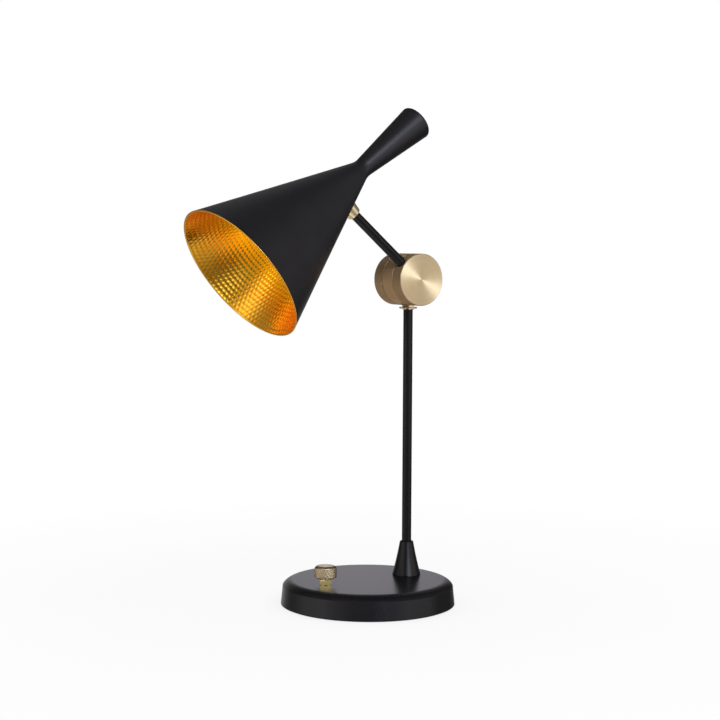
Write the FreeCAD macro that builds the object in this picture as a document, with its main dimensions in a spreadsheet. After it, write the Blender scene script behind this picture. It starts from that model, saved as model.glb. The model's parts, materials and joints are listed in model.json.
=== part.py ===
import FreeCAD, Part
import math
import os
from types import SimpleNamespace

import Sketcher

# An adjustable desk lamp. It stands at z = 0 with its base centred on the origin, +Z up.
# The pole and the arm lie in the XZ plane, the shade reaches towards -X, and the knuckle
# turns about Y. Lengths are millimetres and angles are degrees.

document = FreeCAD.newDocument("desk_lamp")

DRIVING_SIZES = [
    ("base_r", 91.6, "base radius at its lower edge"),
    ("base_lean", 1.9, "how far the wall leans in up to the shoulder"),
    ("base_wall_top", 20.3, "height of the shoulder's lower edge"),
    ("shoulder_run", 10.6, "width of the shoulder"),
    ("base_top", 26.1, "height of the flat top"),
    ("cover_t", 1.6, "sheet thickness of the cover"),
    ("pad_t", 1.2, "thickness of the pad under the base"),
    ("pad_inset", 3.0, "pad edge inside the base edge"),
    ("plate_t", 2.4, "thickness of the bottom plate"),
    ("plate_gap", 0.8, "plate edge inside the cover"),
    ("weight_t", 16.5, "thickness of the cast weight"),
    ("weight_gap", 3.6, "weight edge inside the cord gland"),
    ("weight_pole_r", 13.5, "hole in the weight round the pole nut"),
    ("weight_dimmer_r", 20.0, "hole in the weight round the dimmer"),
    ("channel_w", 14.0, "width of the wiring channel"),
    ("channel_depth", 11.0, "depth of the wiring channel"),
    ("base_screw_r", 2.0, "radius of the base screws"),
    ("base_screw_head_r", 3.9, "radius of their countersunk heads"),
    ("base_screw_inset", 23.6, "their axes inside the base's edge"),
    ("boss_r", 4.5, "radius of the threaded bosses under the cover"),
    ("boss_skin", 0.8, "what the screw leaves free at the end of a boss"),
    ("gland_z", 12.0, "height of the cord inlet"),
    ("gland_r", 6.5, "flange radius of the cord gland"),
    ("gland_neck_r", 5.0, "radius of its neck in the cover's wall"),
    ("gland_bore_r", 3.2, "radius of its bore"),
    ("gland_out", 1.2, "flange face outside the base's lower edge"),
    ("gland_in", 6.4, "inner end inside the base's lower edge"),
    ("block_l", 20.0, "terminal block length"),
    ("block_w", 12.0, "terminal block width"),
    ("block_h", 9.5, "terminal block height"),
    ("block_grip", 5.0, "cable length inside the terminal block"),
    ("wire_r", 2.8, "radius of the inner cable"),
    ("knob_inset", 38.6, "dimmer axis inside the base's edge"),
    ("knob_r", 11.5, "radius of the dimmer knob"),
    ("knob_h", 12.2, "height of the dimmer knob"),
    ("knob_bevel", 2.3, "bevel of its upper edge"),
    ("knob_foot_bevel", 0.5, "bevel of its lower edge"),
    ("knob_lift", 7.4, "underside of the knob above the base"),
    ("knob_bore", 9.0, "depth of its bore"),
    ("knob_screw_r", 1.5, "radius of its grub screw"),
    ("knob_screw_sink", 1.0, "grub screw below the knob's side"),
    ("shaft_r", 3.0, "radius of the dimmer shaft"),
    ("shaft_depth", 8.0, "shaft length inside the housing"),
    ("bushing_r", 4.0, "radius of the dimmer's threaded bushing"),
    ("bushing_out", 7.2, "bushing length above the base"),
    ("dimmer_nut_across", 12.0, "width across flats of the dimmer nut"),
    ("dimmer_nut_h", 6.0, "height of the dimmer nut"),
    ("housing_l", 26.0, "dimmer housing length"),
    ("housing_w", 24.0, "dimmer housing width"),
    ("housing_h", 13.5, "dimmer housing height"),
    ("pole_inset", 41.7, "pole axis inside the base's edge"),
    ("pole_r", 5.0, "pole radius"),
    ("tube_t", 1.5, "wall of the pole and the arm"),
    ("pole_tail", 8.4, "pole length below the cover's underside"),
    ("pole_engage", 9.0, "pole length inside the knuckle"),
    ("pole_washer_r", 12.0, "radius of the washer under the cover"),
    ("pole_washer_t", 1.6, "its thickness"),
    ("pole_nut_across", 17.0, "width across flats of the nut under the cover"),
    ("pole_nut_h", 6.0, "its height"),
    ("collar_foot_r", 15.0, "foot radius of the collar"),
    ("collar_top_r", 7.2, "top radius of the collar"),
    ("collar_h", 36.4, "collar height"),
    ("collar_bevel", 1.0, "bevel of the collar's top"),
    ("collar_lip", 0.6, "straight lip at the collar's foot"),
    ("collar_sag", 0.4, "how far the collar's side curves in"),
    ("pivot_z", 341.5, "height of the knuckle's axis"),
    ("disc_r", 27.4, "radius of the knuckle's discs"),
    ("disc_bevel", 0.6, "bevel of the discs' edges"),
    ("hub_w", 18.0, "width of the middle disc"),
    ("arm_hub_w", 14.7, "width of the front disc"),
    ("clamp_w", 14.3, "width of the rear disc"),
    ("face_gap", 0.4, "gap between the hub and the front disc"),
    ("clamp_gap", 0.9, "gap between the hub and the rear disc"),
    ("washer_t", 0.9, "thickness of the friction washers"),
    ("washer_in_r", 18.0, "inner radius of the friction washers"),
    ("washer_out_r", 25.0, "outer radius of the friction washers"),
    ("spot_face", 0.8, "depth of the flat under the middle disc"),
    ("spot_face_r", 7.6, "radius of that flat"),
    ("head_nut_across", 12.4, "width across flats of the nut under the knuckle"),
    ("head_nut_h", 2.6, "its height"),
    ("head_ring_r", 9.5, "radius of the ring under that nut"),
    ("head_ring_t", 1.6, "thickness of the ring's flange"),
    ("head_ring_bevel", 0.4, "bevel of the flange's edges"),
    ("head_taper", 1.0, "height of the ring's tapered foot"),
    ("head_foot_r", 6.0, "radius of that foot"),
    ("stud_r", 4.0, "radius of the clamp screw"),
    ("stud_front", 8.0, "screw depth in the front disc"),
    ("stud_rear", 10.0, "screw depth in the rear disc"),
    ("stud_slack", 0.4, "room at the ends of the screw"),
    ("spring_r", 11.0, "radius of the spring washer"),
    ("spring_t", 0.9, "its thickness"),
    ("spring_pocket", 1.6, "depth of its pocket in the rear disc"),
    ("groove_in_r", 8.8, "inner radius of the cable groove in the front disc"),
    ("groove_out_r", 15.2, "outer radius of that groove"),
    ("groove_depth", 5.0, "depth of that groove"),
    ("cable_hole_r", 3.2, "radius of the cable holes in the knuckle"),
    ("arm_angle", 39.8, "rise of the arm above the horizontal"),
    ("arm_inset", 7.0, "arm axis behind the front disc's face"),
    ("arm_r", 5.0, "arm radius"),
    ("arm_seat", 15.5, "inner end of the arm from the knuckle's axis"),
    ("arm_reach", 137.9, "knuckle's axis to the shade's axis along the arm"),
    ("arm_tail", 2.2, "arm length past the end of the bush"),
    ("arm_screw_r", 1.5, "radius of the arm's grub screw"),
    ("arm_screw_at", 21.0, "its distance from the knuckle's axis"),
    ("arm_ring_r", 6.8, "radius of the arm's retaining ring"),
    ("arm_ring_t", 1.2, "its thickness"),
    ("bush_tip_r", 7.4, "bush radius at the arm's side"),
    ("bush_foot_r", 8.8, "bush radius at the shade"),
    ("bush_len", 9.0, "bush length outside the shade"),
    ("bush_edge", 0.5, "bevel at the bush's end"),
    ("spigot_r", 6.1, "radius of the bush's threaded spigot"),
    ("saddle_r", 8.8, "radius of the saddle washer"),
    ("saddle_reach", 4.6, "saddle washer's flat face inside the shade's skin"),
    ("swivel_nut_across", 15.0, "width across flats of the nut in the shade"),
    ("swivel_nut_h", 4.0, "its height"),
    ("spigot_end", 0.6, "spigot length past that nut"),
    ("shade_tilt", 36.5, "slope of the shade's axis"),
    ("joint_from_mouth", 136.4, "mouth to the arm's axis along the shade's axis"),
    ("mouth_r", 76.9, "shade radius at the mouth"),
    ("waist_r", 9.8, "shade radius at the waist, before its blend"),
    ("neck_end_r", 18.6, "shade radius at the end of the neck"),
    ("cone_len", 178.0, "mouth to waist"),
    ("neck_len", 86.5, "waist to the end of the neck"),
    ("waist_blend", 20.0, "blend radius at the waist"),
    ("cone_sag", 0.2, "how far the cone's side curves in"),
    ("shell_t", 1.0, "wall of the shade, across its axis"),
    ("liner_gap", 0.15, "gap between the shade and its liner"),
    ("liner_t", 0.6, "wall of the liner, across its axis"),
    ("liner_len", 160.0, "length of the liner"),
    ("lip_t", 0.6, "liner lip in front of the shade's edge"),
    ("cap_rim", 4.0, "height of the cap on the neck"),
    ("cap_round", 2.6, "rounding of the cap's edge"),
    ("cap_plug", 7.0, "depth of the cap's plug in the neck"),
    ("cap_bore", 7.5, "depth of the threaded bore in the cap"),
    ("tie_r", 5.0, "radius of the threaded tube in the shade"),
    ("tie_t", 1.4, "its wall"),
    ("tie_engage", 7.7, "tube length in the lampholder"),
    ("bridge_at", 119.0, "mouth to the bridge"),
    ("bridge_t", 3.0, "thickness of the bridge"),
    ("bridge_gap", 0.2, "bridge edge inside the liner"),
    ("bridge_hole_r", 3.2, "radius of the bridge's cable holes"),
    ("bridge_hole_ring_r", 17.5, "radius of the ring they stand on"),
    ("bridge_nut_across", 14.0, "width across flats of the nut on the bridge"),
    ("bridge_nut_h", 4.0, "its height"),
    ("holder_r", 13.5, "lampholder radius"),
    ("holder_len", 42.0, "lampholder length"),
    ("holder_bevel", 1.0, "bevel of the lampholder's edges"),
    ("socket_depth", 27.0, "depth of the socket"),
    ("socket_r", 7.3, "inner radius of the threaded sleeve"),
    ("socket_t", 0.9, "wall of the threaded sleeve"),
    ("socket_sink", 1.0, "threaded sleeve behind the lampholder's rim"),
    ("contact_r", 3.0, "radius of the centre contact"),
    ("contact_h", 2.5, "height of the centre contact"),
    ("contact_bevel", 0.6, "bevel of the centre contact"),
    ("bulb_cap_r", 6.9, "radius of the bulb's screw cap"),
    ("bulb_cap_len", 20.0, "length of the bulb's screw cap"),
    ("bulb_tip_r", 2.4, "radius of the cap's end"),
    ("bulb_r", 11.0, "bulb radius"),
    ("bulb_len", 31.0, "bulb length outside the lampholder"),
    ("bulb_standoff", 0.6, "glass shoulder outside the lampholder"),
    ("bulb_shoulder", 6.0, "length of the glass shoulder"),
    ("thread_clear", 0.05, "radial clearance of a thread or a seat"),
    ("run_clear", 0.06, "radial clearance of a turning fit"),
    ("hole_clear", 0.25, "radial clearance of a plain hole"),
]

SCREW_ANGLES = (90, 210, 330)
BRIDGE_HOLE_ANGLES = (60, 180, 300)
OVERSHOOT = 1.0
NUT_BEVEL_SHARE = 0.6


def fill_sheet():
    """Write one row for each driving size: its name, its number and what it measures."""
    sheet = document.addObject("Spreadsheet::Sheet", "Sizes")
    for row, (alias, number, note) in enumerate(DRIVING_SIZES, start=1):
        sheet.set(f"A{row}", alias)
        sheet.set(f"B{row}", str(number))
        sheet.setAlias(f"B{row}", alias)
        sheet.set(f"C{row}", note)
    document.recompute()
    return sheet


class Size:
    """A number that keeps the sheet expression it comes from."""

    def __init__(self, number, text):
        self.number = number
        self.text = text

    def __add__(self, other):
        other = as_size(other)
        return Size(self.number + other.number, f"({self.text} + {other.text})")

    def __sub__(self, other):
        other = as_size(other)
        return Size(self.number - other.number, f"({self.text} - {other.text})")

    def __mul__(self, other):
        other = as_size(other)
        return Size(self.number * other.number, f"({self.text} * {other.text})")

    def __truediv__(self, other):
        other = as_size(other)
        return Size(self.number / other.number, f"({self.text} / {other.text})")

    def __radd__(self, other):
        return as_size(other) + self

    def __rsub__(self, other):
        return as_size(other) - self

    def __rmul__(self, other):
        return as_size(other) * self

    def __neg__(self):
        return as_size(0) - self


def as_size(value):
    return value if isinstance(value, Size) else Size(float(value), f"({float(value)!r})")


def cosine(angle):
    angle = as_size(angle)
    return Size(math.cos(math.radians(angle.number)), f"cos({angle.text})")


def sine(angle):
    angle = as_size(angle)
    return Size(math.sin(math.radians(angle.number)), f"sin({angle.text})")


def root(value):
    return Size(math.sqrt(value.number), f"sqrt({value.text})")


sheet = fill_sheet()
s = SimpleNamespace(**{row[0]: Size(sheet.get(row[0]), f"Sizes.{row[0]}") for row in DRIVING_SIZES})


class Frame:
    """A place whose own +Z is turned away from the lamp's: pieces are drawn upright on it."""

    def __init__(self, origin, turn_about=None, angle=None):
        self.origin = [as_size(part) for part in origin]
        self.turn_about = turn_about
        self.angle = angle
        if turn_about == "Y":
            self.up = [sine(angle), as_size(0), cosine(angle)]
        elif turn_about == "X":
            self.up = [as_size(0), -sine(angle), cosine(angle)]
        else:
            self.up = [as_size(0), as_size(0), as_size(1)]

    def at(self, lift):
        """The lamp's own coordinates of a point on this frame's axis."""
        return [start + direction * lift for start, direction in zip(self.origin, self.up)]

    def moved(self, lift):
        return Frame(self.at(lift), self.turn_about, self.angle)


def upright(x, y, z):
    return Frame((x, y, z))


TURN_AXES = {"X": FreeCAD.Vector(1, 0, 0), "Y": FreeCAD.Vector(0, 1, 0)}


def place(piece, frame):
    """Tie a piece's placement to a frame."""
    if frame.turn_about:
        turn = FreeCAD.Rotation(TURN_AXES[frame.turn_about], frame.angle.number)
        piece.Placement = FreeCAD.Placement(FreeCAD.Vector(), turn)
        piece.setExpression("Placement.Rotation.Angle", frame.angle.text)
    for letter, part in zip("xyz", frame.origin):
        piece.setExpression(f"Placement.Base.{letter}", part.text)
    return piece


# Drawing on a sketch

def bind(sketch, constraint, size):
    row = sketch.addConstraint(constraint)
    sketch.setExpression(f"Constraints[{row}]", size.text)


def fix_point(sketch, edge, point, across, along):
    """Hold one end, or the centre, of an edge at its coordinates."""
    for kind, size in (("DistanceX", as_size(across)), ("DistanceY", as_size(along))):
        bind(sketch, Sketcher.Constraint(kind, -1, 1, edge, point, size.number), size)


def arc_between(start, end, radius, side):
    """An arc with its centre on the left (+1) or right (-1) of the way from start to end."""
    middle = (start + end) * 0.5
    way = end - start
    height = math.sqrt(radius ** 2 - (way.Length / 2) ** 2)
    normal = FreeCAD.Vector(-way.y, way.x, 0).normalize()
    centre = middle + normal * (side * height)
    first, last = (start, end) if side > 0 else (end, start)
    angles = [math.atan2(point.y - centre.y, point.x - centre.x) for point in (first, last)]
    if angles[1] < angles[0]:
        angles[1] += 2 * math.pi
    circle = Part.Circle(centre, FreeCAD.Vector(0, 0, 1), radius)
    return Part.ArcOfCircle(circle, *angles)


def draw_outline(sketch, corners):
    """Draw a closed outline. A corner is (across, along), or has an arc (radius, side) after it."""
    points = [FreeCAD.Vector(as_size(c[0]).number, as_size(c[1]).number, 0) for c in corners]
    ends = []
    for index, corner in enumerate(corners):
        start = points[index]
        end = points[(index + 1) % len(points)]
        if len(corner) == 2:
            edge = sketch.addGeometry(Part.LineSegment(start, end), False)
            ends.append((edge, 1, 2))
            continue
        radius, side = corner[2]
        edge = sketch.addGeometry(arc_between(start, end, radius.number, side), False)
        bind(sketch, Sketcher.Constraint("Radius", edge, radius.number), radius)
        ends.append((edge, 1, 2) if side > 0 else (edge, 2, 1))
    for index, corner in enumerate(corners):
        edge, first, _ = ends[index]
        previous, _, last = ends[index - 1]
        sketch.addConstraint(Sketcher.Constraint("Coincident", previous, last, edge, first))
        fix_point(sketch, edge, first, corner[0], corner[1])


def draw_circle(sketch, across, along, radius):
    across, along = as_size(across), as_size(along)
    centre = FreeCAD.Vector(across.number, along.number, 0)
    edge = sketch.addGeometry(Part.Circle(centre, FreeCAD.Vector(0, 0, 1), radius.number), False)
    fix_point(sketch, edge, 3, across, along)
    bind(sketch, Sketcher.Constraint("Radius", edge, radius.number), radius)


def draw_rectangle(sketch, left, right, half_width):
    draw_outline(sketch, [
        (left, -half_width),
        (right, -half_width),
        (right, half_width),
        (left, half_width),
    ])


# Bodies and their features

def new_body(label, frame):
    body = document.addObject("PartDesign::Body", label)
    body.Label = label
    return place(body, frame)


def new_sketch(body, role, name):
    sketch = body.newObject("Sketcher::SketchObject", name)
    plane = next(item for item in body.Origin.OriginFeatures if item.Role == role)
    sketch.AttachmentSupport = [(plane, "")]
    sketch.MapMode = "FlatFace"
    return sketch


def revolved(label, frame, corners):
    """A turned piece: an outline of (radius, height) corners spun about the frame's axis."""
    body = new_body(label, frame)
    sketch = new_sketch(body, "XZ_Plane", f"{label}_outline")
    draw_outline(sketch, corners)
    turn = body.newObject("PartDesign::Revolution", f"{label}_turn")
    turn.Profile = sketch
    turn.ReferenceAxis = (sketch, ["V_Axis"])
    turn.Angle = 360
    return body


def ring(label, frame, inner, outer, start, end):
    return revolved(label, frame, [(inner, start), (outer, start), (outer, end), (inner, end)])


def rod(label, frame, radius, start, end):
    return ring(label, frame, 0, radius, start, end)


def padded_disc(label, frame, radius, thickness):
    body = new_body(label, frame)
    sketch = new_sketch(body, "XY_Plane", f"{label}_edge")
    draw_circle(sketch, 0, 0, radius)
    pad = body.newObject("PartDesign::Pad", f"{label}_pad")
    pad.Profile = sketch
    pad.setExpression("Length", thickness.text)
    return body


def pocket_through(body, circles):
    """Cut round holes right through a body, upwards from its own origin."""
    sketch = new_sketch(body, "XY_Plane", f"{body.Label}_holes")
    for across, along, radius in circles:
        draw_circle(sketch, across, along, radius)
    pocket = body.newObject("PartDesign::Pocket", f"{body.Label}_holes_cut")
    pocket.Profile = sketch
    pocket.Type = "ThroughAll"
    pocket.Reversed = True
    return body


def pocket_channel(body, left, right, half_width, floor, top):
    """Cut a straight channel along X between two heights of a body."""
    sketch = new_sketch(body, "XY_Plane", f"{body.Label}_channel")
    sketch.setExpression("AttachmentOffset.Base.z", top.text)
    draw_rectangle(sketch, left, right, half_width)
    pocket = body.newObject("PartDesign::Pocket", f"{body.Label}_channel_cut")
    pocket.Profile = sketch
    pocket.setExpression("Length", (top - floor).text)
    return body


# Primitives and joins

def cylinder(label, frame, radius, length):
    piece = document.addObject("Part::Cylinder", label)
    piece.Label = label
    piece.setExpression("Radius", as_size(radius).text)
    piece.setExpression("Height", as_size(length).text)
    return place(piece, frame)


def cone(label, frame, lower, upper, height):
    piece = document.addObject("Part::Cone", label)
    piece.Label = label
    piece.setExpression("Radius1", lower.text)
    piece.setExpression("Radius2", upper.text)
    piece.setExpression("Height", height.text)
    return place(piece, frame)


def box(label, length, width, height, centre_x, lower):
    """A box with its middle on the XZ plane."""
    piece = document.addObject("Part::Box", label)
    piece.Label = label
    for name, size in (("Length", length), ("Width", width), ("Height", height)):
        piece.setExpression(name, size.text)
    return place(piece, upright(centre_x - length / 2, -width / 2, lower))


def join(kind, label, first, second):
    piece = document.addObject(f"Part::{kind}", label)
    piece.Label = label
    piece.Base = first
    piece.Tool = second
    return piece


def cut(label, first, *tools):
    """Take each tool from the first shape; the last step carries the label."""
    for count, tool in enumerate(tools, start=1):
        name = label if count == len(tools) else f"{label}_step_{count}"
        first = join("Cut", name, first, tool)
    return first


def group(label, members):
    piece = document.addObject("Part::Compound", label)
    piece.Label = label
    piece.Links = members
    return piece


def hex_nut(label, frame, across, height, bore):
    """A hexagon nut with both faces turned down to its flats."""
    corner_r = across / math.sqrt(3)
    bevel = (corner_r - across / 2) * NUT_BEVEL_SHARE
    prism = document.addObject("Part::Prism", f"{label}_prism")
    prism.Polygon = 6
    prism.setExpression("Circumradius", corner_r.text)
    prism.setExpression("Height", height.text)
    place(prism, frame)
    blank = revolved(f"{label}_blank", frame, [
        (bore, 0),
        (across / 2, 0),
        (corner_r, bevel),
        (corner_r, height - bevel),
        (across / 2, height),
        (bore, height),
    ])
    return join("Common", label, blank, prism)


def on_ring(radius, angles):
    return [(radius * cosine(angle), radius * sine(angle)) for angle in angles]


# Heights and places that follow from the sizes

wall_r = s.base_r - s.base_lean
flat_r = wall_r - s.shoulder_run
weight_r = s.base_r - s.gland_in - s.weight_gap
pole_x = s.base_r - s.pole_inset
knob_x = s.knob_inset - s.base_r
plate_z = s.pad_t
weight_z = plate_z + s.plate_t
weight_top = weight_z + s.weight_t
cover_under = s.base_top - s.cover_t
channel_floor = weight_top - s.channel_depth
base_wire_z = channel_floor + s.wire_r + s.hole_clear
screw_places = on_ring(s.base_r - s.base_screw_inset, SCREW_ANGLES)

hub_face = s.hub_w / 2
arm_hub_face = hub_face + s.face_gap
arm_hub_front = arm_hub_face + s.arm_hub_w
clamp_face = hub_face + s.clamp_gap
clamp_rear = clamp_face + s.clamp_w
arm_y = s.arm_inset - arm_hub_front

ground = upright(0, 0, 0)
pole_axis = upright(pole_x, 0, 0)
dimmer_axis = upright(knob_x, 0, 0)
knuckle = Frame((pole_x, 0, s.pivot_z), "X", as_size(90))
arm = Frame((pole_x, arm_y, s.pivot_z), "Y", s.arm_angle - 90)

shade_joint = arm.at(s.arm_reach)
shade_turn = 90 - s.shade_tilt
shade = Frame(Frame(shade_joint, "Y", shade_turn).at(-s.joint_from_mouth), "Y", shade_turn)

cone_slope = (s.mouth_r - s.waist_r) / s.cone_len
neck_slope = (s.neck_end_r - s.waist_r) / s.neck_len
shade_end = s.cone_len + s.neck_len


def cone_radius(height, inset):
    """The shade's radius at a height above the mouth, less an inset."""
    share = as_size(height) / s.cone_len
    return s.mouth_r - cone_slope * height - s.cone_sag * share * (1 - share) * 4 - inset


# Where the arm's axis goes through the shade's skin, measured from the knuckle's axis
meeting_angle = s.arm_angle + s.shade_tilt
skin_run = cone_radius(s.joint_from_mouth, 0) / (sine(meeting_angle) + cone_slope * cosine(meeting_angle))
skin_at = s.arm_reach - skin_run
swivel_nut_at = skin_at + s.saddle_reach
spigot_tip = swivel_nut_at + s.swivel_nut_h + s.spigot_end
arm_tip = spigot_tip + s.arm_tail

liner_inset = s.shell_t + s.liner_gap
cavity_inset = liner_inset + s.liner_t
holder_rim = s.bridge_at - s.holder_len
socket_floor = holder_rim + s.socket_depth


# Base

def sag_radius(run, rise, sag):
    """Radius of the arc that leaves the straight line over a run and a rise by a sag."""
    chord_square = run * run + rise * rise
    return (chord_square / 4 + sag * sag) / (sag * 2)


def shoulder_radius(run, drop):
    """Radius of the arc that leaves a flat top and falls by a drop over a run."""
    return (run * run + drop * drop) / (drop * 2)


def base_outline(inset):
    """The cover's wall, shoulder and half of its top, moved in by an inset."""
    edge_r = wall_r - inset
    top = s.base_top - inset
    shoulder = shoulder_radius(edge_r - flat_r, top - s.base_wall_top)
    return [
        (s.base_r - inset, plate_z),
        (edge_r, s.base_wall_top, (shoulder, 1)),
        (flat_r, top),
        (0, top),
    ]


def make_base_cover():
    outside = base_outline(as_size(0))
    inside = base_outline(s.cover_t)
    edge_r, edge_z, (inner_shoulder, _) = inside[1]
    shell = revolved("base_shell", ground, outside + [
        (0, cover_under),
        (flat_r, cover_under, (inner_shoulder, -1)),
        (edge_r, edge_z),
        inside[0],
    ])
    pocket_through(shell, [
        (pole_x, 0, s.pole_r + s.hole_clear),
        (knob_x, 0, s.bushing_r + s.hole_clear),
    ])
    inlet = Frame((0, 0, s.gland_z), "Y", as_size(90))
    hole = cylinder("cord_hole", inlet, s.gland_neck_r, s.base_r + s.gland_out)
    cover = cut("base_cover", shell, hole)
    flange = ring(
        "gland_blank", inlet, s.gland_bore_r, s.gland_r, s.base_r - s.gland_in, s.base_r + s.gland_out)
    return [cover, cut("cord_gland", flange, cover)]


def make_base_inside():
    pad = padded_disc("base_pad", ground, s.base_r - s.pad_inset, s.pad_t)
    plate_r = s.base_r - s.cover_t - s.plate_gap
    plate = padded_disc("plate_blank", upright(0, 0, plate_z), plate_r, s.plate_t)
    weight = padded_disc("base_weight", upright(0, 0, weight_z), weight_r, s.weight_t)
    holes = [(pole_x, 0, s.weight_pole_r), (knob_x, 0, s.weight_dimmer_r)]
    screw_holes = [(x, y, s.base_screw_r + s.hole_clear) for x, y in screw_places]
    pocket_through(weight, holes + screw_holes)
    pocket_channel(
        weight, knob_x, weight_r + OVERSHOOT, s.channel_w / 2, s.weight_t - s.channel_depth, s.weight_t)
    return [pad, weight] + make_base_screws(plate)


def make_base_screws(plate):
    """Countersunk screws hold the plate and the weight to bosses under the cover."""
    screws, bosses, sinks = [], [], []
    for number, (x, y) in enumerate(screw_places, start=1):
        foot = upright(x, y, plate_z)
        head = cone(f"screw_head_{number}", foot, s.base_screw_head_r, s.base_screw_r, s.plate_t)
        shank_frame = upright(x, y, weight_z)
        shank = cylinder(
            f"screw_shank_{number}", shank_frame, s.base_screw_r, cover_under - s.boss_skin - weight_z)
        screws.append(join("Fuse", f"screw_{number}", head, shank))
        sinks.append(cone(f"screw_sink_{number}", foot, s.base_screw_head_r + s.hole_clear,
                          s.base_screw_r + s.hole_clear, s.plate_t))
        boss_frame = upright(x, y, weight_top)
        bosses.append(ring(f"boss_{number}", boss_frame, s.base_screw_r + s.thread_clear, s.boss_r,
                           as_size(0), cover_under - weight_top))
    return [
        cut("base_plate", plate, *sinks),
        group("base_screws", screws),
        group("cover_bosses", bosses),
    ]


def make_base_wiring():
    """A terminal block in the channel, with cable to the dimmer and to the pole."""
    block_frame = Frame((0, 0, base_wire_z), "Y", as_size(90))
    blank = box("block_blank", s.block_l, s.block_w, s.block_h, as_size(0), channel_floor)
    bore = cylinder("block_bore", block_frame.moved(-s.block_l / 2), s.wire_r + s.thread_clear, s.block_l)
    cable_end = s.block_l / 2 - s.block_grip
    to_dimmer = rod("cable_to_dimmer", block_frame, s.wire_r, knob_x + s.housing_l / 2, -cable_end)
    to_pole = rod("cable_to_pole", block_frame, s.wire_r, cable_end, pole_x - s.wire_r)
    pole_wire = rod("pole_wire", pole_axis, s.wire_r, channel_floor, pole_top + s.wire_r)
    return [cut("terminal_block", blank, bore), group("base_wires", [to_dimmer, to_pole]), pole_wire]


# Dimmer

def make_dimmer():
    housing_foot = cover_under - s.housing_h
    blank = box("housing_blank", s.housing_l, s.housing_w, s.housing_h, knob_x, housing_foot)
    bore_r = s.shaft_r + s.run_clear
    shaft_foot = cover_under - s.shaft_depth
    well = cylinder("housing_bore", upright(knob_x, 0, shaft_foot), bore_r, s.shaft_depth)
    bushing = ring(
        "dimmer_bushing", dimmer_axis, bore_r, s.bushing_r, cover_under, s.base_top + s.bushing_out)
    nut = hex_nut("dimmer_nut", upright(knob_x, 0, s.base_top), s.dimmer_nut_across,
                  s.dimmer_nut_h, s.bushing_r + s.thread_clear)
    knob_z = s.base_top + s.knob_lift
    shaft = rod("dimmer_shaft", dimmer_axis, s.shaft_r, shaft_foot, knob_z + s.knob_bore)
    return [cut("dimmer_housing", blank, well), bushing, nut, shaft] + make_knob(knob_z)


def make_knob(knob_z):
    bore_r = s.shaft_r + s.thread_clear
    blank = revolved("knob_blank", upright(knob_x, 0, knob_z), [
        (bore_r, 0),
        (s.knob_r - s.knob_foot_bevel, 0),
        (s.knob_r, s.knob_foot_bevel),
        (s.knob_r, s.knob_h - s.knob_bevel),
        (s.knob_r - s.knob_bevel, s.knob_h),
        (0, s.knob_h),
        (0, s.knob_bore),
        (bore_r, s.knob_bore),
    ])
    sideways = Frame((knob_x, 0, knob_z + s.knob_bore / 2), "Y", as_size(90))
    hole = cylinder("knob_screw_hole", sideways, s.knob_screw_r + s.thread_clear, s.knob_r + OVERSHOOT)
    screw_len = s.knob_r - s.knob_screw_sink - bore_r
    screw = cylinder("knob_screw", sideways.moved(bore_r), s.knob_screw_r, screw_len)
    return [cut("dimmer_knob", blank, hole), screw]


# Pole

hub_under = s.pivot_z - s.disc_r
pole_top = hub_under + s.pole_engage
head_nut_top = hub_under + s.spot_face
head_nut_foot = head_nut_top - s.head_nut_h


def make_pole():
    pole = ring("pole", pole_axis, s.pole_r - s.tube_t, s.pole_r, cover_under - s.pole_tail, pole_top)
    seat_r = s.pole_r + s.thread_clear
    shank_top = s.collar_h - s.collar_bevel
    side = sag_radius(s.collar_foot_r - s.collar_top_r, shank_top - s.collar_lip, s.collar_sag)
    collar = revolved("pole_collar", upright(pole_x, 0, s.base_top), [
        (seat_r, 0),
        (s.collar_foot_r, 0),
        (s.collar_foot_r, s.collar_lip, (side, -1)),
        (s.collar_top_r, shank_top),
        (s.collar_top_r - s.collar_bevel, s.collar_h),
        (seat_r, s.collar_h),
    ])
    washer_foot = cover_under - s.pole_washer_t
    washer = ring("pole_washer", pole_axis, seat_r, s.pole_washer_r, washer_foot, cover_under)
    nut = hex_nut("pole_nut", upright(pole_x, 0, washer_foot - s.pole_nut_h), s.pole_nut_across,
                  s.pole_nut_h, seat_r)
    return [pole, collar, washer, nut] + make_pole_head(seat_r)


def make_pole_head(seat_r):
    """The nut and the ring that lock the pole in the knuckle."""
    nut = hex_nut(
        "head_nut", upright(pole_x, 0, head_nut_foot), s.head_nut_across, s.head_nut_h, seat_r)
    flange_foot = head_nut_foot - s.head_ring_t
    edge = s.head_ring_bevel
    collar = revolved("head_ring", pole_axis, [
        (seat_r, flange_foot - s.head_taper),
        (s.head_foot_r, flange_foot - s.head_taper),
        (s.head_foot_r + s.head_taper, flange_foot),
        (s.head_ring_r - edge, flange_foot),
        (s.head_ring_r, flange_foot + edge),
        (s.head_ring_r, head_nut_foot - edge),
        (s.head_ring_r - edge, head_nut_foot),
        (seat_r, head_nut_foot),
    ])
    return [nut, collar]


# Knuckle: drawn about its own axis, with heights towards the front

def disc_edge(rear, front):
    """The bevelled outer edge of a disc, from its rear face to its front face."""
    return [
        (s.disc_r - s.disc_bevel, rear),
        (s.disc_r, rear + s.disc_bevel),
        (s.disc_r, front - s.disc_bevel),
        (s.disc_r - s.disc_bevel, front),
    ]


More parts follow.
